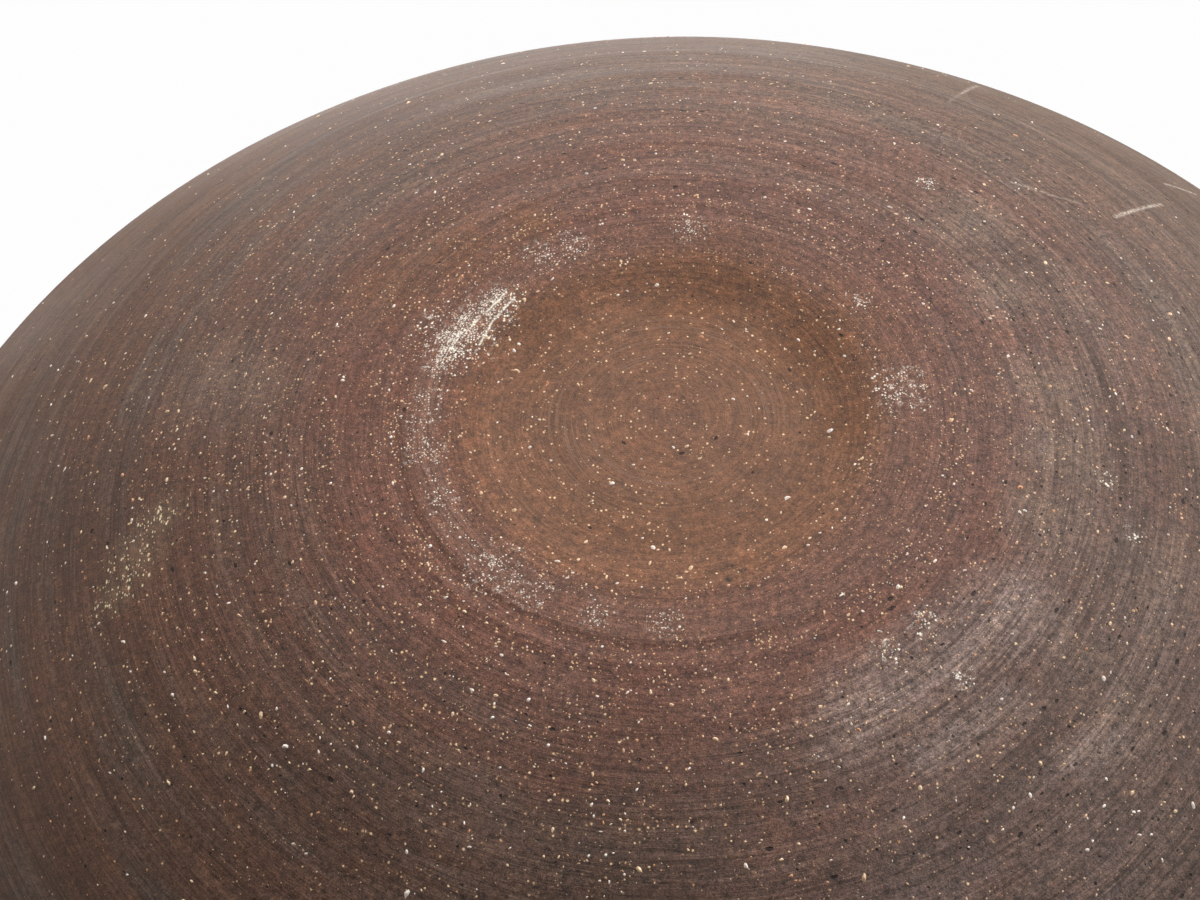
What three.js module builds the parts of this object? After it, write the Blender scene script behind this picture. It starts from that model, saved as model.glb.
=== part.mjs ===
// A wide, shallow stoneware bowl on a low turned foot, standing as it is used, open side up.
// Millimetres, +Z up. The origin is the middle of the foot, on the plane the bowl stands on.
import * as THREE from "three";

// Overall size
const rimRadius = 123; // to the outermost point of the lip
const height = 46.5; // from the standing plane to the top of the lip

// Lip: a plain half round, as thick as the wall below it
const lipRadius = 2.3;
const lipLean = THREE.MathUtils.degToRad(45); // how far the wall leans from level where it meets the lip

// Foot: a low worn ring round a shallow recess
const footRadius = 33; // middle of the worn ring
const footWidth = 5; // width of the flat, worn band
const recessDepth = 1.4;
const recessShoulder = 12; // width of the soft slope from the band to the floor of the recess

// Outer wall: one swelling curve from foot to lip, turned in broad shallow cuts
const wallStartLean = THREE.MathUtils.degToRad(4);
const wallStartPull = 4; // how long the curve keeps its direction at the foot
const wallEndPull = 61; // and at the lip
const cutCount = 8;
const cutDepth = 0.15; // hollow in the middle of each cut

// Inside
const floorHeight = 7.2; // clay surface in the middle of the inside
const floorPull = 42; // how long the inside stays level
const insideEndPull = 55;
const glazeThickness = 0.4;

// Fineness of the faceting
const segments = 72;
const stepsPerCut = 4;
const lipSteps = 8;
const shoulderSteps = 6;
const insideSteps = 15;

const at = (r, z) => new THREE.Vector2(r, z);
const towards = (lean, length) => at(Math.cos(lean) * length, Math.sin(lean) * length);

// Points along a smooth curve that leaves `from` and reaches `to` in the given directions.
const sweep = (from, fromPull, toPull, to) =>
  new THREE.CubicBezierCurve(from, from.clone().add(fromPull), to.clone().sub(toPull), to);

const footInner = footRadius - footWidth / 2;
const footOuter = footRadius + footWidth / 2;
const lipCentre = at(rimRadius - lipRadius, height - lipRadius);
const lipOuter = lipCentre.clone().add(at(Math.sin(lipLean), -Math.cos(lipLean)).multiplyScalar(lipRadius));
const lipInner = lipCentre.clone().multiplyScalar(2).sub(lipOuter);

const shoulder = sweep(
  at(footInner - recessShoulder, recessDepth),
  at(recessShoulder / 2, 0),
  at(recessShoulder / 2, 0),
  at(footInner, 0),
);
const wall = sweep(
  at(footOuter, 0),
  towards(wallStartLean, wallStartPull),
  towards(lipLean, wallEndPull),
  lipOuter,
);
const inside = sweep(
  at(0, floorHeight),
  at(floorPull, 0),
  towards(lipLean, insideEndPull),
  lipInner,
);

// The wall's points, each hollow of a cut pushed a little into the clay.
function cutWall() {
  const steps = cutCount * stepsPerCut;
  return wall.getPoints(steps).map((point, i) => {
    const along = wall.getTangent(i / steps);
    const hollow = cutDepth * Math.sin((Math.PI * (i % stepsPerCut)) / stepsPerCut);
    return point.add(at(-along.y, along.x).multiplyScalar(hollow));
  });
}

// The half round of the lip, between the wall and the inside.
function lip() {
  const points = [];
  for (let i = 1; i < lipSteps; i++) {
    const turn = lipLean - Math.PI / 2 + (Math.PI * i) / lipSteps;
    points.push(lipCentre.clone().add(towards(turn, lipRadius)));
  }
  return points;
}

// The inside surface from the middle out to the lip, and the same raised by the glaze, which
// thins out to nothing at the lip.
const clayInside = inside.getPoints(insideSteps);
const glazeTop = clayInside.map((point, i) => {
  if (i === insideSteps) return point;
  const along = inside.getTangent(i / insideSteps);
  return point.clone().add(at(-along.y, along.x).multiplyScalar(glazeThickness));
});

// A closed solid turned round the Z axis. The outline runs from the axis round to the axis,
// anticlockwise as seen with the axis on the left.
function turned(name, outline, look) {
  const shape = new THREE.LatheGeometry(outline, segments);
  shape.rotateX(Math.PI / 2);
  const mesh = new THREE.Mesh(shape, new THREE.MeshStandardMaterial(look));
  mesh.name = name;
  return mesh;
}

const bowl = new THREE.Group();
bowl.name = "stoneware_bowl";
bowl.add(
  turned(
    "bowl_body",
    [
      at(0, recessDepth),
      ...shoulder.getPoints(shoulderSteps),
      ...cutWall(),
      ...lip(),
      ...clayInside.slice().reverse(),
    ],
    { color: 0x7a5c4e, roughness: 0.92, metalness: 0 },
  ),
  turned(
    "interior_glaze",
    [...clayInside, ...glazeTop.slice(0, -1).reverse()],
    { color: 0x54433a, roughness: 0.38, metalness: 0 },
  ),
);

export default bowl;
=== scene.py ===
import math

import bpy
import numpy as np
from mathutils import Matrix, Vector


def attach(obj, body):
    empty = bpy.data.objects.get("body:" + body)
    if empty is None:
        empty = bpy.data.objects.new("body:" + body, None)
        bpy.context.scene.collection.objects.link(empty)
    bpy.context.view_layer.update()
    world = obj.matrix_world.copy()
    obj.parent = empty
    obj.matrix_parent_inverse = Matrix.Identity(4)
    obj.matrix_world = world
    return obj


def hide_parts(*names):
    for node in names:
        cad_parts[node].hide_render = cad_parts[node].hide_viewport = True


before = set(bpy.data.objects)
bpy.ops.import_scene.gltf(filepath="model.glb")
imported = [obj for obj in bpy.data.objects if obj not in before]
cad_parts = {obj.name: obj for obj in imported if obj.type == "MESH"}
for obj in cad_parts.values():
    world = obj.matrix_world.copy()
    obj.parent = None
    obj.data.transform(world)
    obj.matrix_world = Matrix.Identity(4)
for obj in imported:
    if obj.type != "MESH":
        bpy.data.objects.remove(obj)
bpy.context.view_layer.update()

# Sizes in millimetres, as in part.mjs
RIM_RADIUS = 123.0
HEIGHT = 46.5
LIP_RADIUS = 2.3
LIP_LEAN = math.radians(45)
FOOT_RADIUS = 33.0
FOOT_WIDTH = 5.0
RECESS_DEPTH = 1.4
RECESS_SHOULDER = 12.0
WALL_START_LEAN = math.radians(4)
WALL_START_PULL = 4.0
WALL_END_PULL = 61.0
CUT_COUNT = 8
CUT_DEPTH = 0.15
FLOOR_HEIGHT = 7.2
FLOOR_PULL = 42.0
INSIDE_END_PULL = 55.0
GLAZE = 0.4

# Fineness of the meshes: faces round the axis, and millimetres along the outline
SEGMENTS = 208
OUTER_STEP = 0.33
BACK_STEP = 3.0
COAT_STEP = 0.8
MM = 0.001

# Layers of noise in the surfaces, (height, width across, length round the axis)
TOOL_MARKS = ((0.009, 0.28, 22), (0.012, 0.55, 30), (0.024, 1.4, 45), (0.050, 4.5, 60))
THROWING_RINGS = ((0.05, 4.8, 60), (0.03, 1.6, 30))
EDGE_WAVES = ((0.45, 1, 17), (0.25, 1, 5))

MARK_TOP = 0.05  # the highest that a tool mark stands out of the outline
CALM_BAND = 39.5  # radius of the calmer band beside the foot
SPIRAL_HEIGHT = 0.05
SPIRAL_PITCH = 8.5
EDGE_FROM_LIP = 1.6  # from the lip down to the glaze's edge
EDGE_SLOPE = 2.6  # over which the glaze thins out towards its edge
EDGE_RADIUS = 60.0  # where the lengths of the edge's waves are measured
COAT_BED = 0.15  # how deep the coat's underside lies in the clay
BARE_BED = 0.12  # how deep its top lies there where the clay is bare

# How many grains of grog stand in a square centimetre at each radius, and how large they are
GRAINS_PER_CM2 = (
    (0, 11), (15, 11), (25, 18), (30, 48), (36, 46), (45, 34), (55, 28), (65, 21), (75, 14),
    (85, 8), (95, 4.5), (105, 2.0), (122, 1.2),
)
GRAIN_GROWTH = ((0, 1.2), (24, 1.2), (34, 1.0), (60, 1.0), (90, 1.25), (122, 1.3))
SMALLEST_GRAIN, MIDDLE_GRAIN, LARGEST_GRAIN = 0.24, 0.34, 1.1
BARE_LIP = 1.5  # width at the rim with no grains
SPARE_GRAINS = 1.6  # times as many are drawn as stand in the clay
CROWDED = 1.9  # how crowded a place is where each one drawn is kept
LARGE_FROM = 0.36
LARGE_CORNERS, SMALL_CORNERS = 7, 5
# Kinds of grog, each with its range of a random tone
GROG = (("white", 0.0, 0.32), ("cream", 0.32, 0.80), ("rust", 0.80, 1.01))
# Places of the largest grains, (x, y, size)
LARGE_GRAINS = {
    "white": (
        (-24.1, 21.3, 1.2), (-30.5, 5.2, 1.1), (-29.6, -4.3, 0.6), (-40.2, 2.8, 0.7),
        (11.6, 30.2, 1.1), (-32.3, -15.9, 0.6), (-60.2, 4.7, 0.8), (-66.8, 0.1, 0.7),
        (71.0, -28.0, 0.8), (60.1, -20.8, 0.6), (48.8, -47.7, 0.6), (28.7, -54.6, 0.6),
        (31.6, -59.4, 0.7), (11.2, 45.8, 0.7), (38.5, 53.4, 0.7), (8.6, -35.9, 0.6),
        (26.8, -17.2, 0.6), (-52.3, -38.3, 0.9), (-41.6, -53.2, 0.9), (-26.4, -56.9, 0.7),
        (-50.6, -53.6, 0.9), (-60.3, -39.3, 0.7), (-25.1, -34.0, 0.6), (21.0, -83.0, 1.2),
        (-62.0, -52.0, 0.9), (8.3, -61.2, 0.5), (7.4, -61.1, 0.45), (9.0, -64.0, 0.55),
        (7.9, -64.1, 0.5),
    ),
    "cream": (
        (-54.2, 29.0, 1.3), (54.7, -27.7, 0.8), (32.4, 42.9, 0.7), (-6.8, -31.1, 0.6),
        (-21.4, -63.6, 0.9), (4.4, -62.9, 1.3), (-18.3, 3.6, 0.5), (5.7, -10.8, 0.5),
    ),
    "rust": ((-28.8, -5.5, 0.9), (-7.1, 21.8, 0.7), (65.5, -47.2, 0.6)),
}

rng = np.random.RandomState(4711)


# Outline
def towards(lean, length):
    return np.array([math.cos(lean), math.sin(lean)]) * length


def sweep(start, start_pull, end_pull, end, count=1200):
    """Dense points on the curve that leaves start and reaches end in the given directions."""
    t = np.linspace(0, 1, count)[:, None]
    a, d = np.array(start, float), np.array(end, float)
    b, c = a + start_pull, d - end_pull
    return (1 - t) ** 3 * a + 3 * t * (1 - t) ** 2 * b + 3 * t * t * (1 - t) * c + t**3 * d


def normals_of(line):
    """Unit normals on the right of the line: out of the clay along the underside."""
    along = np.gradient(line, axis=0)
    along /= np.linalg.norm(along, axis=1)[:, None] + 1e-12
    return np.stack([along[:, 1], -along[:, 0]], 1)


def arc_lengths(line):
    return np.concatenate([[0], np.cumsum(np.hypot(*np.diff(line, axis=0).T))])


def respaced(line, step):
    length = arc_lengths(line)
    at = np.linspace(0, length[-1], int(round(length[-1] / step)) + 1)
    return np.stack([np.interp(at, length, line[:, k]) for k in (0, 1)], 1)


foot_inner, foot_outer = FOOT_RADIUS - FOOT_WIDTH / 2, FOOT_RADIUS + FOOT_WIDTH / 2
lip_centre = np.array([RIM_RADIUS - LIP_RADIUS, HEIGHT - LIP_RADIUS])
lip_outer = lip_centre + LIP_RADIUS * np.array([math.sin(LIP_LEAN), -math.cos(LIP_LEAN)])
lip_inner = 2 * lip_centre - lip_outer

wall = sweep(
    (foot_outer, 0),
    towards(WALL_START_LEAN, WALL_START_PULL),
    towards(LIP_LEAN, WALL_END_PULL),
    lip_outer,
)
cut_phase = np.linspace(0, CUT_COUNT, len(wall)) % 1
wall = wall - normals_of(wall) * (CUT_DEPTH * np.sin(math.pi * cut_phase))[:, None]
half = RECESS_SHOULDER / 2
recess = sweep((foot_inner - RECESS_SHOULDER, RECESS_DEPTH), (half, 0), (half, 0), (foot_inner, 0))
lip_turn = np.linspace(LIP_LEAN - math.pi / 2, LIP_LEAN + math.pi / 2, 60)
lip = lip_centre + LIP_RADIUS * np.stack([np.cos(lip_turn), np.sin(lip_turn)], 1)
inside = sweep(
    (0, FLOOR_HEIGHT), (FLOOR_PULL, 0), towards(LIP_LEAN, INSIDE_END_PULL), lip_inner
)
under = respaced(np.concatenate([[[0, RECESS_DEPTH]], recess, wall, lip[1:]]), OUTER_STEP)[1:]
under_radius = under[:, :1]
under_normal = normals_of(under)


# Turned surfaces
def streaks(radius, step, width, arc):
    """Seeded noise round the axis, with a spread of 1, for rows at these radii, that far apart:
    smooth over a width across the rows and over the length of an arc along them."""
    rows = len(radius)
    field = rng.standard_normal((rows, SEGMENTS))
    turn = np.fft.fftfreq(SEGMENTS) * SEGMENTS
    across = np.fft.fftfreq(rows)[:, None] * 2 * math.pi * width / step
    field = np.fft.ifft(np.fft.fft(field, axis=0) * np.exp(-0.5 * across**2), axis=0).real
    reach = np.minimum(arc / np.maximum(radius, 1.0), 1.5)
    keep = np.exp(-0.5 * (turn * reach) ** 2)
    field = np.fft.ifft(np.fft.fft(field, axis=1) * keep, axis=1).real
    field /= np.sqrt((keep**2).mean(axis=1, keepdims=True))
    return field / field.std()


def layered(layers, radius, step):
    """Layers of streaks on one another."""
    return sum(height * streaks(radius, step, width, arc) for height, width, arc in layers)


ANGLE = np.linspace(0, 2 * math.pi, SEGMENTS, endpoint=False)


def turned(line, push):
    """Points of an outline (r, z) turned round Z, each moved along its normal by push, which
    has a value for each outline point and turn."""
    out = normals_of(line)
    r = line[:, :1] + out[:, :1] * push
    z = line[:, 1:] + out[:, 1:] * push
    return np.stack([r * np.cos(ANGLE), r * np.sin(ANGLE), z + 0 * r], -1)


def mesh_piece(name, points, polygons, smooth):
    mesh = bpy.data.meshes.new(name)
    mesh.from_pydata((points * MM).tolist(), [], polygons)
    mesh.polygons.foreach_set("use_smooth", [smooth] * len(mesh.polygons))
    mesh.update()
    piece = bpy.data.objects.new(name, mesh)
    bpy.context.scene.collection.objects.link(piece)
    return piece


def turned_piece(name, rings):
    """A closed piece from rings of points, the first and the last closed on the axis. The rings
    run from the axis along the underside and back to the axis along the top."""
    turn = np.arange(SEGMENTS)
    following = (turn + 1) % SEGMENTS
    points = rings.reshape(-1, 3)
    faces = []
    for i in range(len(rings) - 1):
        a, b = i * SEGMENTS, (i + 1) * SEGMENTS
        faces += np.stack([a + turn, a + following, b + following, b + turn], 1).tolist()
    for ring, order in ((0, (1, 0, 2)), (len(rings) - 1, (0, 1, 2))):
        middle = np.full(SEGMENTS, len(points))
        points = np.concatenate([points, [[0, 0, rings[ring, :, 2].mean()]]])
        fan = np.stack([ring * SEGMENTS + turn, ring * SEGMENTS + following, middle], 1)
        faces += fan[:, order].tolist()
    return mesh_piece(name, points, faces, True)


# The clay
def near(radius, middle, width):
    """1 at the middle radius, fading to nothing over about that width on both sides."""
    return np.exp(-(((radius - middle) / width) ** 2))


def tool_marks():
    """How far tool marks move each point of the underside: worn smooth on the foot ring, and
    calmer in the recess, beside the foot and at the lip."""
    marks = layered(TOOL_MARKS, under_radius, OUTER_STEP)
    in_recess = np.clip((foot_inner - under_radius) / 6, 0, 1)
    before_lip = np.clip((RIM_RADIUS - 1.0 - under_radius) / 8, 0.25, 1)
    off_axis = np.clip(under_radius / 6, 0, 1)
    strength = 1 - 0.75 * near(under_radius, FOOT_RADIUS, 3.2)
    strength *= 1 - 0.55 * in_recess
    strength *= 1 - 0.5 * near(under_radius, CALM_BAND, 4.5)
    strength *= before_lip * off_axis
    return np.minimum((marks - MARK_TOP) * strength, MARK_TOP)


surface = turned(under, tool_marks())
back = respaced(inside, BACK_STEP)[-2:0:-1]
clay = turned_piece(
    "clay_body",
    np.concatenate([surface, turned(back, np.zeros((len(back), SEGMENTS)))]),
)


# The glaze
def glaze_coat():
    """A thin coat inside, with throwing rings. Its edge wavers a little below the lip, where it
    thins out."""
    line = respaced(inside, COAT_STEP)[1:]
    radius = line[:, :1]
    from_middle = arc_lengths(line)[:, None]
    from_lip = arc_lengths(inside)[-1] - from_middle - COAT_STEP
    edge = EDGE_FROM_LIP + layered(EDGE_WAVES, np.full((1, 1), EDGE_RADIUS), 1)
    cover = np.clip((from_lip - edge) / EDGE_SLOPE, 0, 1)
    spiral = from_middle / SPIRAL_PITCH - ANGLE / (2 * math.pi)
    rings = SPIRAL_HEIGHT * np.cos(2 * math.pi * spiral)
    rings = rings + layered(THROWING_RINGS, radius, COAT_STEP) - SPIRAL_HEIGHT
    rings = rings * cover * np.clip(radius / 10, 0, 1)
    top = np.where(cover > 0, GLAZE * cover**0.6, -BARE_BED) + rings
    bottom = turned(line, np.full_like(top, COAT_BED))
    return turned_piece("glaze_coat", np.concatenate([bottom, turned(line, -top)[::-1]]))


coat = glaze_coat()


# Grains of grog in the clay
def column_of(turn):
    return (turn / (2 * math.pi) * SEGMENTS).astype(int) % SEGMENTS


def scattered_grains():
    """Row, turn and size of each grain: thicker along some tool marks than others, and thinner
    on the two sides where the clay is calmest."""
    open_rows = np.flatnonzero(under[:, 0] < RIM_RADIUS - BARE_LIP)
    radius = under[open_rows, 0]
    spread = np.interp(radius, *zip(*GRAINS_PER_CM2)) * 2 * math.pi * radius * OUTER_STEP / 100
    count = int(spread.sum() * SPARE_GRAINS)
    row = open_rows[rng.choice(len(open_rows), count, p=spread / spread.sum())]
    row = row + rng.rand(count) - 0.5
    turn = rng.rand(count) * 2 * math.pi
    radius = under[row.astype(int), 0]
    crowd = np.exp(0.55 * streaks(under_radius, OUTER_STEP, 1.2, 5))
    here = crowd[row.astype(int), column_of(turn)]
    calm_side = 0.4 * np.clip(-radius * np.cos(turn) / 60, 0, 1)
    calm_side = calm_side + 0.4 * np.clip(radius * np.sin(turn) / 70, 0, 1)
    kept = rng.rand(count) < here / CROWDED * (1 - calm_side)
    row, turn = row[kept], turn[kept]
    size = MIDDLE_GRAIN * np.exp(0.40 * rng.standard_normal(len(row)))
    size *= np.interp(under[row.astype(int), 0], *zip(*GRAIN_GROWTH))
    kept = size > SMALLEST_GRAIN
    return row[kept], turn[kept], np.minimum(size[kept], LARGEST_GRAIN)


row_radius = np.hypot(surface[:, 0, 0], surface[:, 0, 1])
grain_row, grain_turn, grain_size = scattered_grains()
grain_tone = rng.rand(len(grain_size))
for kind, low, _ in GROG:
    for x, y, size in LARGE_GRAINS[kind]:
        grain_row = np.append(grain_row, np.abs(row_radius - math.hypot(x, y)).argmin())
        grain_turn = np.append(grain_turn, math.atan2(y, x) % (2 * math.pi))
        grain_size = np.append(grain_size, size)
        grain_tone = np.append(grain_tone, low)


def chip(corners):
    """Points and faces of a flat, closed chip with this many corners round its edge."""
    turn = np.arange(corners) * 2 * math.pi / corners
    points = np.stack([np.cos(turn), np.sin(turn), 0 * turn], 1)
    points = np.concatenate([points, [[0, 0, 1], [0, 0, -1]]])
    ring = np.arange(corners)
    after = (ring + 1) % corners
    top = np.stack([ring, after, np.full(corners, corners)], 1)
    bottom = np.stack([after, ring, np.full(corners, corners + 1)], 1)
    return points, np.concatenate([top, bottom])


def grains(name, chosen, corners):
    """Chips of grog lying in the turned surface, each of its own shape, in one piece."""
    points, faces = chip(corners)
    count = len(chosen)
    row, turn, size = grain_row[chosen].astype(int), grain_turn[chosen], grain_size[chosen]
    r, z = np.hypot(*surface[row, column_of(turn), :2].T), surface[row, column_of(turn), 2]
    normal_r, normal_z = under_normal[row].T
    out = np.stack([normal_r * np.cos(turn), normal_r * np.sin(turn), normal_z], 1)
    side = np.stack([-np.sin(turn), np.cos(turn), 0 * turn], 1)
    up = np.cross(out, side)
    spin = 0.9 * rng.standard_normal(count)
    lengthwise = side * np.cos(spin)[:, None] + up * np.sin(spin)[:, None]
    sidewise = np.cross(out, lengthwise)
    length = 0.5 * size * (1.05 + 0.5 * rng.rand(count))
    width = 0.5 * size * (0.65 + 0.35 * rng.rand(count))
    depth = 0.5 * size * (0.35 + 0.3 * rng.rand(count))
    shape = points[None] * (1 + 0.5 * (rng.rand(count, len(points), 1) - 0.5))
    shape[..., 2:] += 0.3 * (rng.rand(count, len(points), 1) - 0.5)
    middle = np.stack([r * np.cos(turn), r * np.sin(turn), z], 1) - out * (0.10 * size)[:, None]
    points = (
        middle[:, None]
        + lengthwise[:, None] * (shape[..., :1] * length[:, None, None])
        + sidewise[:, None] * (shape[..., 1:2] * width[:, None, None])
        + out[:, None] * (shape[..., 2:] * depth[:, None, None])
    )
    # a grain under the foot is worn level with the ground
    points[..., 2] = np.maximum(points[..., 2], 0)
    index = faces[None] + (np.arange(count) * points.shape[1])[:, None, None]
    return mesh_piece(name, points.reshape(-1, 3), index.reshape(-1, 3).tolist(), False)


grog = {}
for name, low, high in GROG:
    picked = (grain_tone >= low) & (grain_tone < high)
    large = np.flatnonzero(picked & (grain_size > LARGE_FROM))
    small = np.flatnonzero(picked & (grain_size <= LARGE_FROM))
    grog[name] = [
        grains(f"grog_{name}_large", large, LARGE_CORNERS),
        grains(f"grog_{name}_small", small, SMALL_CORNERS),
    ]


# Materials
def srgb(r, g, b):
    """Linear colour of an 8-bit sRGB one."""
    return tuple(
        c / 255 / 12.92 if c <= 10.31 else ((c / 255 + 0.055) / 1.055) ** 2.4 for c in (r, g, b)
    ) + (1.0,)


class Graph:
    """A node tree whose nodes are made one call at a time. A value is a number, a vector, a
    colour or the output of another node."""

    def __init__(self, tree):
        self.tree = tree
        tree.nodes.clear()

    def put(self, socket, value):
        if isinstance(value, bpy.types.NodeSocket):
            self.tree.links.new(value, socket)
        else:
            socket.default_value = value

    def node(self, kind, *values, settings=None, named=None):
        """The outputs of a new node. Values go into its sockets in order or by their names."""
        node = self.tree.nodes.new("ShaderNode" + kind)
        for key, value in (settings or {}).items():
            setattr(node, key, value)
        for socket, value in zip(node.inputs, values):
            self.put(socket, value)
        for key, value in (named or {}).items():
            self.put(node.inputs[key], value)
        return node.outputs

    def math(self, operation, *values):
        return self.node("Math", *values, settings={"operation": operation})[0]

    def vector(self, operation, *values):
        return self.node("VectorMath", *values, settings={"operation": operation})

    def times(self, *values):
        """The product of several values."""
        whole = values[0]
        for value in values[1:]:
            whole = self.math("MULTIPLY", whole, value)
        return whole

    def most(self, *values):
        """The largest of several values."""
        whole = values[0]
        for value in values[1:]:
            whole = self.math("MAXIMUM", whole, value)
        return whole

    def plus(self, base, value, weight):
        """The base and the weighted value together."""
        return self.math("MULTIPLY_ADD", value, weight, base)

    def between(self, value, low, high, to_low=0.0, to_high=1.0):
        return self.node("MapRange", value, low, high, to_low, to_high)[0]

    def off_middle(self, value):
        """How far a value is from one half."""
        return self.math("ABSOLUTE", self.math("SUBTRACT", value, 0.5))

    def swing(self, value, strength):
        """A factor round 1 from a value round one half."""
        return self.plus(1.0, self.math("SUBTRACT", value, 0.5), strength)

    def noise(self, vector, scale, detail=3.0, roughness=0.5):
        return self.node(
            "TexNoise",
            named={"Vector": vector, "Scale": scale, "Detail": detail, "Roughness": roughness},
        )

    def mix(self, factor, a, b, blend="MIX"):
        node = self.tree.nodes.new("ShaderNodeMix")
        node.data_type, node.blend_type = "RGBA", blend
        for socket, value in zip((node.inputs[0], node.inputs[6], node.inputs[7]), (factor, a, b)):
            self.put(socket, value)
        return node.outputs[2]

    def ramp(self, value, stops):
        """A colour from a value, with stops (value, colour)."""
        outputs = self.node("ValToRGB", value)
        elements = outputs[0].node.color_ramp.elements
        while len(elements) < len(stops):
            elements.new(0.5)
        for element, (position, colour) in zip(elements, stops):
            element.position, element.color = position, colour
        return outputs[0]


# Which way a speck's painted shade falls, seen from above
LIGHT_TO_SHADE = (0.57, -0.82, 0.0)


class Look(Graph):
    """A material whose colour is laid on layer by layer. Its places are in millimetres: the
    point, the point seen from above, its radius, and its way along the outline from the foot's
    middle, near enough."""

    def __init__(self, name):
        self.material = bpy.data.materials.new(name)
        self.material.use_nodes = True
        super().__init__(self.material.node_tree)
        self.shader = self.node("BsdfPrincipled")[0].node
        self.node("OutputMaterial", self.shader.outputs[0])
        metres = self.node("TexCoord")["Object"]
        self.point = self.vector("MULTIPLY", metres, (1000.0, 1000.0, 1000.0))[0]
        self.flat = self.vector("MULTIPLY", self.point, (1.0, 1.0, 0.0))[0]
        self.radius = self.vector("LENGTH", self.flat)[1]
        height = self.node("SeparateXYZ", self.point)[2]
        self.along = self.plus(self.radius, height, 0.41)
        self.colour = None

    def over(self, factor, tint):
        """Lay a tint over the colour."""
        self.colour = self.mix(factor, self.colour, tint)

    def tinted(self, factor, tint):
        """Multiply the colour by a tint."""
        self.colour = self.mix(factor, self.colour, tint, "MULTIPLY")

    def shaded(self, *factors):
        """Multiply the colour by several factors."""
        for factor in factors:
            self.tinted(1.0, self.node("CombineColor", factor, factor, factor)[0])

    def stretched(self, across, per_mm):
        """A place for noise that is drawn out round the axis: across is its fineness round,
        per_mm its fineness along the outline."""
        lift = self.node("CombineXYZ", 0.0, 0.0, self.times(self.along, per_mm))[0]
        return self.vector("MULTIPLY_ADD", self.flat, (across, across, 0.0), lift)[0]

    def drawn_out(self, across, per_mm, detail=3.0, roughness=0.55):
        return self.noise(self.stretched(across, per_mm), 1.0, detail, roughness)[0]

    def specks(self, point, per_mm, reach, share):
        """Scattered specks, one in that share of the cells: how far inside one a place is, a
        random value for each, the rim round it, and its dark side away from the light as painted
        shade."""
        cell = self.node("TexVoronoi", named={"Vector": point, "Scale": per_mm})
        pick = self.node("SeparateColor", cell["Color"])
        taken = self.math("LESS_THAN", pick[0], share)
        size = self.plus(0.55, self.math("POWER", pick[2], 2.0), 1.0)
        distance = self.math("DIVIDE", cell["Distance"], size)
        inside_it = self.times(self.between(distance, reach, reach * 0.6), taken)
        rim = self.times(self.between(distance, reach * 1.7, reach), taken)
        offset = self.vector("SUBTRACT", point, cell["Position"])[0]
        away = self.vector("DOT_PRODUCT", offset, LIGHT_TO_SHADE)[1]
        shade = self.between(away, 0.2 * reach / per_mm, reach / per_mm)
        return inside_it, pick[1], rim, self.times(rim, shade)

    def spot(self, x, y, radius, soft):
        """1 within a round place. It fades over soft times its radius on both sides of its
        edge."""
        away = self.vector("DISTANCE", self.flat, (x, y, 0.0))[1]
        return self.between(away, radius * (1 + soft), radius * max(1 - soft, 0.0))

    def stroke(self, start, end, half_width, soft=1.0):
        """1 within a straight stroke from start to end, which fades in the same way."""
        (ax, ay), (bx, by) = start, end
        dx, dy = bx - ax, by - ay
        length = math.hypot(dx, dy)
        offset = self.vector("SUBTRACT", self.flat, (ax, ay, 0.0))[0]
        along = self.vector("DOT_PRODUCT", offset, (dx / length**2, dy / length**2, 0.0))[1]
        across = self.vector("DOT_PRODUCT", offset, (-dy / length, dx / length, 0.0))[1]
        beyond = self.math("SUBTRACT", self.off_middle(along), 0.5)
        beyond = self.times(self.math("MAXIMUM", beyond, 0.0), length)
        away = self.plus(self.times(across, across), beyond, beyond)
        away = self.math("SQRT", away)
        return self.between(away, half_width * (1 + soft), half_width * max(1 - soft, 0.0))

    def any_spot(self, spots, soft=0.85):
        """1 within the nearest of several round places (x, y, radius)."""
        return self.most(*(self.spot(*spot, soft) for spot in spots))

    def any_stroke(self, strokes, soft=1.0):
        """1 within the nearest of several strokes (start, end, half width)."""
        return self.most(*(self.stroke(*stroke, soft) for stroke in strokes))

    def finish(self, roughness, relief, depth):
        """The material, with its colour, its roughness and a fine relief of that depth."""
        self.put(self.shader.inputs["Base Color"], self.colour)
        self.put(self.shader.inputs["Roughness"], roughness)
        bump = self.node("Bump", named={"Height": relief, "Distance": depth * MM})
        self.put(self.shader.inputs["Normal"], bump[0])
        return self.material


# The clay's colour from the middle of the foot, 0, to the rim, 1
CLAY_TONES = (
    (0.0, srgb(125, 88, 68)),
    (0.14, srgb(124, 86, 63)),
    (0.215, srgb(122, 83, 60)),
    (0.245, srgb(117, 81, 66)),
    (0.32, srgb(112, 78, 66)),
    (0.48, srgb(107, 80, 68)),
    (0.66, srgb(103, 79, 66)),
    (0.82, srgb(101, 78, 64)),
    (1.0, srgb(110, 88, 74)),
)
# Tints that the colour is multiplied by on the sides of the bowl and in its clouds
RIGHT_TINT, LEFT_TINT = (0.97, 1.04, 1.10, 1), (1.03, 0.90, 0.81, 1)
FAR_LEFT_TINT = (0.94, 0.91, 0.86, 1)
COOL_CLOUD, WARM_CLOUD = (0.975, 1.0, 1.04, 1), (1.03, 1.0, 0.955, 1)
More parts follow.
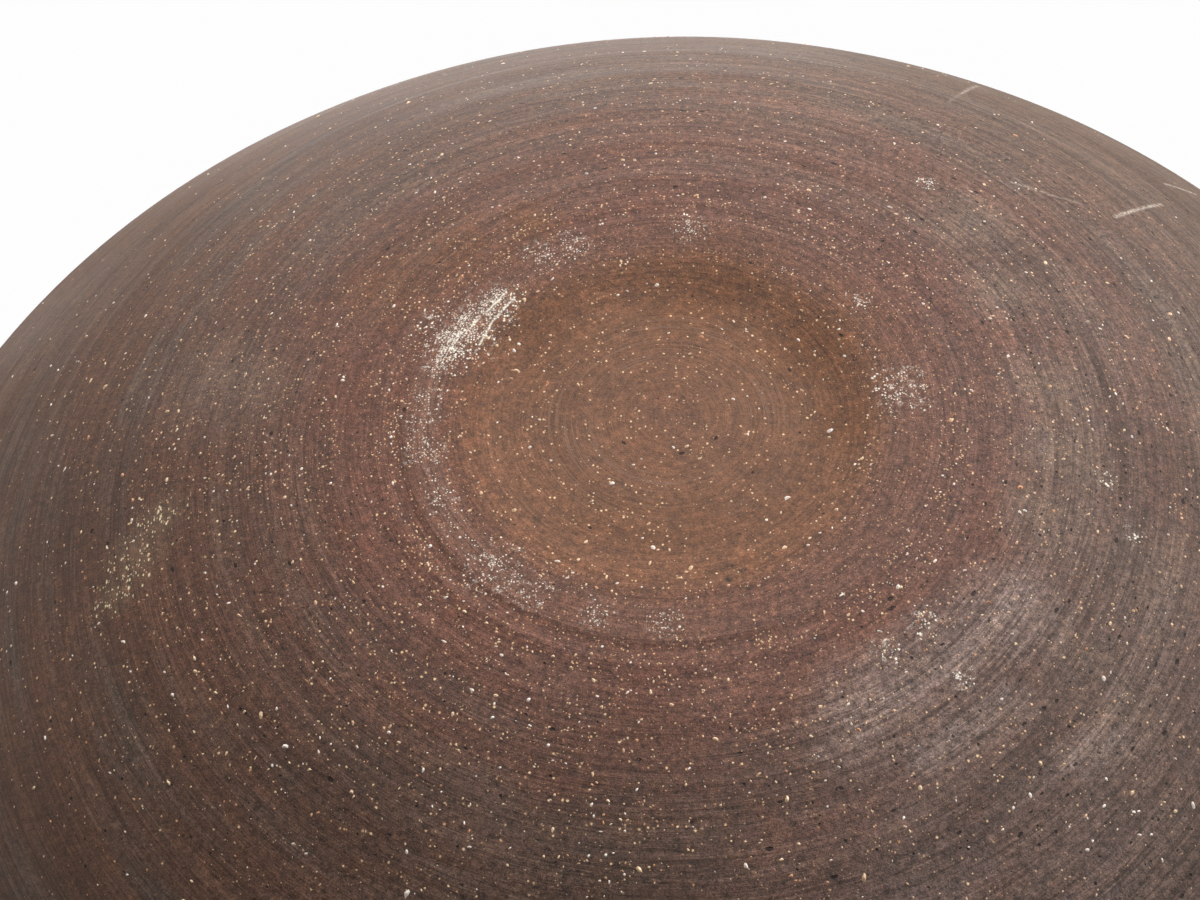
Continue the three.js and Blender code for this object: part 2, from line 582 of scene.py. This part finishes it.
# Layers over it
REDDISH, ORANGE, GREYISH = srgb(116, 70, 52), srgb(114, 74, 47), srgb(99, 85, 75)
VIOLET, PALE, SMEARED = srgb(114, 95, 89), srgb(126, 105, 92), srgb(144, 124, 115)
# PAINTED_SHADE is a brown painted on as shade
PAINTED_SHADE, RUSTY_GRIT, COOL_GRIT = srgb(80, 58, 46), srgb(129, 78, 50), srgb(87, 74, 76)
GROOVE_SHADE, RING, WORN_HIGHLIGHT = srgb(66, 48, 40), srgb(142, 112, 96), srgb(180, 142, 122)
SHEEN, YELLOW, CHALK = srgb(186, 158, 138), srgb(250, 232, 190), srgb(226, 212, 196)
CREAM, WHITE, RUST = srgb(250, 220, 176), srgb(255, 247, 232), srgb(202, 134, 84)
SHADE_DARK, STAIN = srgb(34, 26, 24), srgb(44, 42, 34)
# Share of the cells with a fleck of grog too small to model, from the middle to the rim
FLECKS = (
    (0.0, 0.12), (0.20, 0.14), (0.28, 0.52), (0.38, 0.30), (0.60, 0.15), (0.78, 0.03), (1.0, 0.01),
)

# Places on the underside, (x, y, radius) in millimetres
# White sparkles round the foot ring: worn white grog with painted highlight
SPARKLE_SPOTS = (
    (28.5, 14.0, 4.0), (24.0, 19.5, 3.0), (32.6, 3.0, 1.6), (32.2, -6.0, 2.0), (29.6, -13.5, 1.6),
    (22.0, -24.5, 2.8), (17.5, -28.0, 2.0), (9.0, -31.5, 1.6), (-31.1, 2.9, 3.0), (-26.5, 18.5, 1.5),
    (-3.6, 33.2, 1.8), (13.0, 30.4, 1.8), (17.0, 29.0, 2.0), (1.0, -33.0, 1.6), (-25.7, -36.9, 1.4),
    (-30.8, -32.9, 1.6), (-34.7, -39.9, 1.2), (-57.0, -10.5, 1.0), (-59.0, -18.0, 1.0),
    (-38.7, 44.9, 1.2), (31.5, 8.0, 1.6), (33.0, -0.5, 1.8), (32.5, 18.1, 0.8),
)
# Knots of the white glint, a painted highlight on the worn foot, (x, y, radius)
GLINT_KNOTS = (
    (27.7, 17.3, 1.3), (29.6, 14.1, 1.5), (29.2, 11.6, 1.2), (23.4, 21.0, 1.2), (31.0, 9.0, 1.0),
)
YELLOW_SPOTS = ((67.5, -10.5, 2.4), (70.6, -15.5, 3.2), (73.0, -20.8, 2.2))
ORANGE_PATCHES = (
    (30.0, 30.5, 6.0), (38.0, 25.0, 6.0), (20.0, 35.5, 4.0), (-20.2, 11.6, 8.0), (-7.0, 22.0, 7.0),
    (-22.5, -1.0, 3.5), (18.0, 15.0, 5.0),
)
RED_PATCHES = (
    (45.0, 2.0, 9.0), (40.0, -20.0, 9.0), (24.0, -36.0, 9.0), (4.0, -44.0, 8.0), (-24.0, -33.0, 5.0),
    (14.0, -50.0, 6.0), (6.0, 46.0, 8.0), (54.0, -24.0, 5.0),
)
# Pale patches; the last, at the left edge, is a painted highlight along the lip
PALE_PATCHES_AND_EDGE_LIGHT = (
    (-58.9, -24.5, 6.0), (-54.5, -42.0, 4.5), (-44.0, 36.0, 5.0), (60.0, 10.0, 7.0),
    (-50.5, 4.5, 4.5), (-50.6, -6.0, 5.0), (-47.5, -16.5, 4.5), (-50.0, -36.0, 5.0),
    (-46.0, 21.0, 4.0), (105.0, 45.0, 14.0),
)
VIOLET_PATCHES = ((-47.0, -60.0, 13.0), (-60.0, -40.0, 15.0), (-30.0, -64.0, 12.0))
# Patches painted darker as shade, (x, y, radius)
PAINTED_SHADE_PATCHES = (
    (82.0, -8.0, 9.0), (48.0, 72.0, 8.0), (8.9, -60.0, 10.0), (-66.0, -6.0, 6.0), (36.0, -52.0, 7.0),
)
DARK_STAINS = ((17.1, -16.5, 0.5), (-7.1, -26.4, 0.45), (-8.6, -25.2, 0.35))
# Strokes on the underside, (start, end, half width)
# The white glint and its threads, a painted highlight on the worn foot
GLINT_STROKES = (((30.6, 11.2), (23.4, 20.4), 1.6),)
GLINT_THREADS = (
    ((21.0, 20.9), (23.9, 16.7), 0.14),
    ((23.9, 16.7), (25.6, 12.4), 0.12),
    ((22.2, 21.8), (24.9, 18.2), 0.13),
)
# Worn strokes by the foot ring, lighter as worn clay and as painted highlight
WORN_HIGHLIGHT_STROKES = (
    ((31.6, 8.0), (32.9, -4.0), 1.3),
    ((32.9, -4.0), (28.0, -17.4), 1.4),
    ((28.0, -17.4), (19.4, -26.8), 1.3),
)
SMEARED_STROKES = (
    ((-33.5, -37.0), (-42.0, -29.5), 4.0),
    ((-21.5, -45.5), (-31.0, -38.8), 4.4),
    ((-29.5, -49.0), (-39.8, -42.2), 2.2),
    ((-48.0, -48.5), (-52.5, -45.8), 1.8),
)
# Thin scratches of chalk, (stroke, strength)
CHALK_STROKES = (
    (((-52.2, 48.3), (-58.6, 46.6), 0.20), 0.4),
    (((-58.6, 46.6), (-62.5, 46.0), 0.20), 0.25),
    (((-67.8, 45.1), (-71.6, 49.0), 0.26), 0.75),
    (((-71.6, 49.0), (-78.0, 55.4), 0.26), 0.65),
    (((-81.9, 66.6), (-89.2, 71.3), 0.28), 0.6),
    (((-46.2, 74.3), (-49.7, 82.0), 0.25), 0.15),
    (((-49.7, 82.0), (-55.4, 94.6), 0.30), 0.4),
)


class Clay(Look):
    """Raw stoneware. Left, right and far are the sides as the camera sees them."""

    def __init__(self):
        super().__init__("raw_stoneware")
        x, y = self.node("SeparateXYZ", self.flat)[:2]
        self.share = self.math("DIVIDE", self.radius, RIM_RADIUS)
        self.right = self.between(x, 0.0, -60.0)
        self.left = self.between(x, 15.0, 70.0)
        far = self.between(y, 10.0, 70.0)
        self.busy = self.plus(self.plus(1.0, self.right, -0.35), far, -0.45)
        # slow patches and wide bands, then finer and finer noise
        self.patch = self.noise(self.point, 0.09, 4.0, 0.6)[0]
        self.zone = self.drawn_out(0.030, 0.11, 4.0, 0.6)
        self.band = self.drawn_out(0.020, 0.45, 3.0, 0.6)
        self.line = self.drawn_out(0.075, 2.6, 4.0, 0.75)
        clump = self.noise(self.point, 0.7, 3.0, 0.7)[0]
        self.clump = self.between(clump, 0.38, 0.58, 0.25, 1.0)
        self.uneven = self.noise(self.point, 1.0, 3.0, 0.6)[0]
        self.mottle = self.noise(self.point, 1.1, 5.0, 0.85)[0]
        self.glitter = self.noise(self.point, 3.3, 3.0, 0.75)[0]
        # the point moved about a little, which tears the edges of specks
        self.warp = self.noise(self.point, 5.0, 2.0, 0.6)[1]
        self.torn = self.vector("MULTIPLY_ADD", self.warp, (0.26, 0.26, 0.26), self.point)[0]
        # worn strokes with painted highlight
        self.rub_and_highlight = self.any_stroke(WORN_HIGHLIGHT_STROKES)
        # sparkles of worn grog with painted highlight
        self.sparkling = self.any_spot(SPARKLE_SPOTS)
        sparkle = self.most(self.sparkling, self.times(self.rub_and_highlight, 0.45))
        self.sparkle = self.times(sparkle, self.clump)

    def ground(self):
        """The colour from the middle of the foot to the rim, and its drift to the sides."""
        self.colour = self.ramp(self.share, CLAY_TONES)
        self.tinted(self.right, RIGHT_TINT)
        self.tinted(self.left, LEFT_TINT)
        far_left = self.vector("DOT_PRODUCT", self.flat, (0.5, 0.85, 0.0))[1]
        self.tinted(self.between(far_left, 40.0, 75.0), FAR_LEFT_TINT)

    def patchy(self, spots, low, high, weak, strong):
        """Soft patches at these places, stronger where the slow noise is high."""
        return self.times(self.any_spot(spots), self.between(self.patch, low, high, weak, strong))

    def patches(self):
        """Slow changes between reddish, orange, grey, violet and pale, in bands round the foot and
        in patches, the pale smear, a painted highlight at the left edge and painted shade in
        patches."""
        in_bands = self.between(self.zone, 0.52, 0.36, 0.0, 0.7)
        red = self.times(
            self.most(self.any_spot(RED_PATCHES), in_bands),
            self.between(self.radius, 95.0, 60.0),
            self.plus(1.0, self.left, -0.6),
            self.between(self.radius, 33.0, 37.0),
            self.between(self.patch, 0.3, 0.6, 0.10, 0.38),
        )
        self.over(red, REDDISH)
        self.over(self.patchy(ORANGE_PATCHES, 0.3, 0.6, 0.5, 0.85), ORANGE)
        grey = self.between(self.plus(self.times(self.zone, 0.75), self.band, 0.35), 0.53, 0.68)
        self.over(self.times(grey, self.between(self.radius, 34.0, 75.0, 0.1, 0.65)), GREYISH)
        self.over(self.patchy(VIOLET_PATCHES, 0.3, 0.6, 0.25, 0.65), VIOLET)
        # pale patches, and a painted highlight at the left edge
        self.over(self.patchy(PALE_PATCHES_AND_EDGE_LIGHT, 0.35, 0.55, 0.4, 0.8), PALE)
        smear = self.times(
            self.any_stroke(SMEARED_STROKES),
            self.between(self.line, 0.40, 0.58, 0.6, 1.0),
            self.between(self.mottle, 0.35, 0.6, 0.6, 1.0),
        )
        self.over(smear, SMEARED)
        # painted shade in a few darker patches
        self.over(self.times(self.any_spot(PAINTED_SHADE_PATCHES), 0.45), PAINTED_SHADE)

    def grit(self):
        """Fine rust and violet grit along the tool's lines."""
        lines = self.drawn_out(0.05, 0.9, 4.0, 0.7)
        rusty = self.plus(self.noise(self.point, 1.6, 4.0, 0.8)[0], lines, 0.4)
        self.over(self.times(self.between(rusty, 0.68, 0.86), self.busy, 0.13), RUSTY_GRIT)
        cool = self.plus(self.noise(self.point, 2.1, 3.0, 0.8)[0], lines, 0.4)
        self.over(self.times(self.between(cool, 0.70, 0.90), self.busy, 0.17), COOL_GRIT)

    def light_and_dark(self):
        """Faint clouds, light and shade painted along the tool's raised marks and lines, and an even
        grain.
        """
        cloudy = self.noise(self.point, 0.35, 3.0, 0.65)[0]
        self.tinted(1.0, self.mix(self.between(cloudy, 0.35, 0.65), COOL_CLOUD, WARM_CLOUD))
        clouds = self.between(self.radius, 28.0, 40.0, 0.75, 0.35)
        ridge_shading = self.plus(self.between(self.radius, 34.0, 48.0, 0.4, 1.0), self.right, 0.25)
        outside = self.between(self.radius, 17.0, 28.0, 0.55, 1.0)
        lines = self.times(outside, self.plus(1.8, self.right, 0.6))
        grain = self.times(
            self.between(self.radius, 17.0, 30.0, 0.72, 1.05),
            self.between(self.radius, 80.0, 105.0, 1.0, 0.7),
        )
        grain = self.plus(grain, self.left, -0.22)
        finest = self.noise(self.point, 4.2, 2.0, 0.8)[0]
        # painted light and shade of the tool's marks, with the clay's clouds and grain
        self.shaded(
            self.swing(cloudy, clouds),
            self.swing(self.band, ridge_shading),
            self.swing(self.line, lines),
            self.swing(self.mottle, self.times(grain, 3.9)),
            self.swing(finest, self.times(grain, 2.3)),
        )

    def groove_shade_and_rings(self):
        """Dark lines of painted shade along the tool's cuts in the wall, and fine pale rings turned
        in the middle of the recess.
        """
        groove_shade = self.off_middle(self.drawn_out(0.030, 1.2, 2.0, 0.5))
        groove_shade = self.times(
            self.between(groove_shade, 0.035, 0.012),
            self.between(self.zone, 0.46, 0.56, 0.12, 0.5),
            self.between(self.radius, 38.0, 52.0, 0.3, 0.85),
        )
        # painted shade along the cut lines
        self.over(groove_shade, GROOVE_SHADE)
        ring = self.off_middle(self.drawn_out(0.010, 1.1, 2.0, 0.5))
        ring = self.times(
            self.between(ring, 0.030, 0.008),
            self.between(self.radius, 8.5, 10.5),
            self.between(self.radius, 18.5, 16.0),
            self.between(self.patch, 0.42, 0.56, 0.1, 0.6),
        )
        self.over(ring, RING)

    def flecks(self):
        """Grog too small to model: flecks with a rusty rim and a painted shaded side, and finer
        dust.
        """
        crowd = self.between(self.drawn_out(0.16, 0.5, 2.0), 0.36, 0.64, 0.2, 1.8)
        share = self.ramp(self.share, [(place, (part, part, part, 1)) for place, part in FLECKS])
        share = self.times(self.node("SeparateColor", share)[0], crowd, self.busy)
        share = self.plus(share, self.sparkle, 0.3)
        fleck, tone, rim, shade = self.specks(self.torn, 1.8, 0.25, share)
        dust, dust_tone = self.specks(self.torn, 3.1, 0.26, self.times(share, 0.45))[:2]
        self.over(self.times(rim, 0.2), RUST)
        # painted shade on each fleck's side away from the light
        self.over(self.times(shade, 0.4), SHADE_DARK)
        dust_colour = self.mix(self.between(dust_tone, 0.5, 1.1), CREAM, RUST)
        self.over(self.times(dust, 0.7), dust_colour)
        self.fleck = self.times(fleck, self.between(tone, 0.0, 0.4, 0.4, 1.0))
        self.over(self.fleck, self.mix(self.between(tone, 0.65, 1.1), CREAM, RUST))

    def pits(self):
        """Pits drawn out round the axis and round pinholes, most of them on the right, dark as
        painted shade.
        """
        share = self.times(
            self.between(self.right, 0.0, 0.8, 0.25, 1.0),
            self.between(self.radius, 60.0, 105.0, 0.16, 0.04),
            self.between(self.radius, 34.0, 50.0, 0.3, 1.0),
        )
        drawn = self.stretched(0.75, 1.1)
        drawn = self.vector("MULTIPLY_ADD", self.warp, (0.30, 0.30, 0.30), drawn)[0]
        pit = self.specks(drawn, 0.9, 0.27, share)[0]
        pinhole = self.specks(self.torn, 1.4, 0.25, self.times(share, 1.1))[0]
        self.pit = self.most(pit, pinhole)
        # painted shade in the pits and pinholes
        self.over(self.times(self.pit, 0.85), SHADE_DARK)

    def worn_foot_and_painted_glint(self):
        """The rubbed edge of the recess, its white glint with bright threads, and sparkles: worn
        clay and grog with a painted highlight and sheen.
        """
        # worn clay made lighter, with painted highlight
        self.over(self.times(self.rub_and_highlight, self.between(self.line, 0.4, 0.6, 0.03, 0.22)), WORN_HIGHLIGHT)
        sparks = self.specks(self.torn, 2.5, 0.42, self.sparkle)[0]
        knots = self.times(
            self.between(self.uneven, 0.56, 0.64),
            self.sparkling,
            self.between(self.glitter, 0.48, 0.55),
        )
        streaky = self.between(self.drawn_out(0.22, 3.0, 3.0, 0.7), 0.46, 0.58)
        within = self.any_stroke(GLINT_STROKES, 1.2)
        bright = self.plus(self.glitter, streaky, 0.12)
        bright = self.plus(bright, within, 0.12)
        bright = self.plus(bright, self.any_spot(GLINT_KNOTS), 0.09)
        bright = self.plus(bright, self.uneven, 0.35)
        # painted sheen round the glint
        self.over(self.times(self.between(bright, 0.78, 0.92, 0.0, 0.4), within), SHEEN)
        broken = self.between(self.glitter, 0.38, 0.54, 0.1, 1.0)
        threads = self.times(self.any_stroke(GLINT_THREADS), broken)
        white = self.times(self.between(bright, 0.89, 0.98), self.between(within, 0.0, 0.4))
        self.glint = self.most(white, threads)
        # painted highlight: the glint, and the sparkles of worn grog
        self.over(self.most(self.glint, sparks, knots), WHITE)

    def yellow_patch(self):
        """Yellowish flakes on the left."""
        within = self.any_spot(YELLOW_SPOTS)
        drawn = self.vector("MULTIPLY", self.torn, (1.0, 0.55, 1.0))[0]
        share = self.times(within, self.between(self.clump, 0.25, 0.9, 0.45, 1.2))
        flakes = self.specks(drawn, 2.5, 0.36, share)[0]
        self.over(self.plus(self.times(flakes, 0.95), within, 0.05), YELLOW)

    def scratches(self):
        """Scratches of chalk near the far edge, and a few dark stains."""
        chalk = self.most(*(self.times(self.stroke(*line), part) for line, part in CHALK_STROKES))
        broken = self.between(self.noise(self.point, 1.6, 4.0, 0.8)[0], 0.42, 0.56)
        self.over(self.times(chalk, broken), CHALK)
        stain = self.times(
            self.any_spot(DARK_STAINS, 0.6), self.between(self.mottle, 0.4, 0.6, 0.9, 0.4)
        )
        self.over(stain, STAIN)


def clay_material():
    look = Clay()
    look.ground()
    look.patches()
    look.grit()
    look.light_and_dark()
    look.groove_shade_and_rings()
    look.flecks()
    look.pits()
    look.worn_foot_and_painted_glint()
    look.yellow_patch()
    look.scratches()
    look.put(look.shader.inputs["Specular IOR Level"], 0.27)
    rough = look.plus(look.between(look.mottle, 0.35, 0.65, 0.56, 0.74), look.glint, -0.25)
    relief = look.plus(look.mottle, look.line, 0.5)
    relief = look.plus(relief, look.fleck, 0.35)
    relief = look.plus(relief, look.pit, -0.8)
    return look.finish(rough, relief, 0.18)


def glaze_material():
    look = Look("ash_glaze")
    blotch = look.noise(look.point, 0.05, 4.0, 0.55)[0]
    rings = look.between(look.drawn_out(0.03, 0.3), 0.35, 0.65)
    look.colour = look.mix(rings, srgb(84, 66, 54), srgb(96, 77, 63))
    look.over(look.times(look.between(blotch, 0.4, 0.7), 0.5), srgb(74, 62, 56))
    pool = look.between(look.radius, 60.0, 10.0)
    look.over(look.times(pool, 0.4), srgb(68, 52, 45))
    thin = look.between(look.radius, 104.0, 119.0)
    look.over(look.times(thin, 0.6), srgb(124, 94, 72))
    look.shaded(look.swing(look.noise(look.point, 0.7, 4.0, 0.7)[0], 0.9))
    iron = look.specks(look.point, 0.55, 0.20, 0.4)[0]
    look.over(look.times(iron, 0.6), srgb(46, 34, 29))
    pale_iron = look.specks(look.point, 0.8, 0.14, 0.25)[0]
    look.over(look.times(pale_iron, 0.4), srgb(150, 118, 92))
    rough = look.between(blotch, 0.35, 0.7, 0.28, 0.42)
    return look.finish(rough, look.noise(look.point, 0.8)[0], 0.05)


def grog_material(name, light, dark):
    look = Look(f"grog_{name}")
    uneven = look.between(look.noise(look.point, 1.7)[0], 0.38, 0.62)
    look.put(look.shader.inputs["Base Color"], look.mix(uneven, dark, light))
    look.put(look.shader.inputs["Roughness"], 0.55)
    return look.material


clay.data.materials.append(clay_material())
coat.data.materials.append(glaze_material())
grog_looks = {
    "white": grog_material("white", srgb(255, 248, 238), srgb(236, 214, 196)),
    "cream": grog_material("cream", srgb(250, 222, 184), srgb(214, 172, 130)),
    "rust": grog_material("rust", srgb(222, 166, 120), srgb(172, 112, 78)),
}
for name, pieces in grog.items():
    for piece in pieces:
        piece.data.materials.append(grog_looks[name])
        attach(piece, "root")

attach(clay, "root")
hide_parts("bowl_body")
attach(coat, "root")
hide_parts("interior_glaze")

# Floor
BACKGROUND = (0.985, 0.985, 0.985, 1)
PAPER = (0.56, 0.555, 0.55, 1)
PAPER_FADES = (0.2, 0.62)  # metres from the bowl's middle
FLOOR_CORNERS = 48
FLOOR_RADIUS = 3000.0


def floor_material():
    """Pale paper round the bowl, fading into the background, and clear from below."""
    material = bpy.data.materials.new("pale_floor")
    material.use_nodes = True
    graph = Graph(material.node_tree)
    place = graph.node("NewGeometry")
    away = graph.vector("LENGTH", place["Position"])[1]
    smooth = {"interpolation_type": "SMOOTHSTEP"}
    fade = graph.node("MapRange", away, *PAPER_FADES, settings=smooth)[0]
    paper = graph.node("BsdfDiffuse", PAPER)[0]
    glow = graph.node("Emission", BACKGROUND)[0]
    from_above = graph.node("MixShader", fade, paper, glow)[0]
    clear = graph.node("BsdfTransparent")[0]
    either = graph.node("MixShader", place["Backfacing"], from_above, clear)[0]
    graph.node("OutputMaterial", either)
    return material


floor_turn = np.arange(FLOOR_CORNERS) * 2 * math.pi / FLOOR_CORNERS
floor = mesh_piece(
    "floor",
    FLOOR_RADIUS * np.stack([np.cos(floor_turn), np.sin(floor_turn), 0 * floor_turn], 1),
    [tuple(range(FLOOR_CORNERS))],
    False,
)
floor.data.materials.append(floor_material())
floor.visible_shadow = False
floor.visible_diffuse = False
floor.visible_glossy = False

# Light, in metres and watts: each lamp is (name, place, height that it aims at, width, power)
EVEN_LIGHT = 0.23
LAMPS = (
    ("window", (-0.785, 0.453, -0.423), 0.01, 0.6, 10.1),
    ("second_window", (0, 0.707, -0.707), 0.01, 0.6, 8.4),
    ("side_glow", (0.498, 0.863, -0.087), 0.01, 0.6, 2.4),
    ("table_glow", (0.10, 0.93, 0.342), 0.01, 0.6, 4.2),
    ("edge_glow", (0.95, 0.20, 0.20), 0.01, 0.5, 1.8),
    ("above", (0.35, -0.25, 0.95), 0.02, 0.8, 20.0),
)


def studio_world():
    """The background that the camera sees, and an even light on everything else."""
    world = bpy.data.worlds.new("studio")
    world.use_nodes = True
    graph = Graph(world.node_tree)
    seen = graph.node("Background", BACKGROUND)[0]
    lit = graph.node("Background", named={"Strength": EVEN_LIGHT})[0]
    by_camera = graph.node("LightPath")["Is Camera Ray"]
    either = graph.node("MixShader", by_camera, lit, seen)[0]
    graph.node("OutputWorld", either)
    return world


def softbox(name, place, aim_height, width, power):
    light = bpy.data.lights.new(name, "AREA")
    light.shape = "RECTANGLE"
    light.size = light.size_y = width
    light.energy = power
    lamp = bpy.data.objects.new(name, light)
    lamp.location = place
    ahead = Vector((0, 0, aim_height)) - Vector(place)
    lamp.rotation_euler = ahead.to_track_quat("-Z", "Y").to_euler()
    lamp.visible_camera = False
    bpy.context.scene.collection.objects.link(lamp)


bpy.context.scene.world = studio_world()
for lamp_values in LAMPS:
    softbox(*lamp_values)

# Camera, in metres. It looks up at the underside as the photograph does.
CAMERA_LENS = 57.68
FILM_WIDTH = 36.0
CAMERA_AWAY = 0.25475
CAMERA_BELOW = math.radians(52.0)
CAMERA_ROLL = math.radians(1.23)
FOOT_PIXEL = (668.0, 411.6)  # where the photograph has the foot's middle
PICTURE = (1200, 900)


def photo_camera():
    pixels = CAMERA_LENS / FILM_WIDTH * PICTURE[0]
    c, s = math.cos(CAMERA_BELOW), math.sin(CAMERA_BELOW)
    axes = Matrix(((-1, 0, 0), (0, s, -c), (0, -c, -s)))
    roll = Matrix.Rotation(CAMERA_ROLL, 3, "Z")
    foot_x = (FOOT_PIXEL[0] - PICTURE[0] / 2) / pixels
    foot_y = (PICTURE[1] / 2 - FOOT_PIXEL[1]) / pixels
    ahead = Vector((0, 0, -1))
    lean = ahead.rotation_difference(Vector((foot_x, foot_y, -1))).to_matrix()
    data = bpy.data.cameras.new("camera")
    data.lens, data.sensor_width = CAMERA_LENS, FILM_WIDTH
    data.clip_start, data.clip_end = 0.01, 20.0
    camera = bpy.data.objects.new("camera", data)
    placed = (lean @ roll @ axes).transposed().to_4x4()
    placed.translation = Vector((0, -CAMERA_AWAY * c, -CAMERA_AWAY * s))
    camera.matrix_world = placed
    bpy.context.scene.collection.objects.link(camera)
    return camera


bpy.context.scene.camera = photo_camera()
bpy.context.scene.view_settings.view_transform = "Standard"
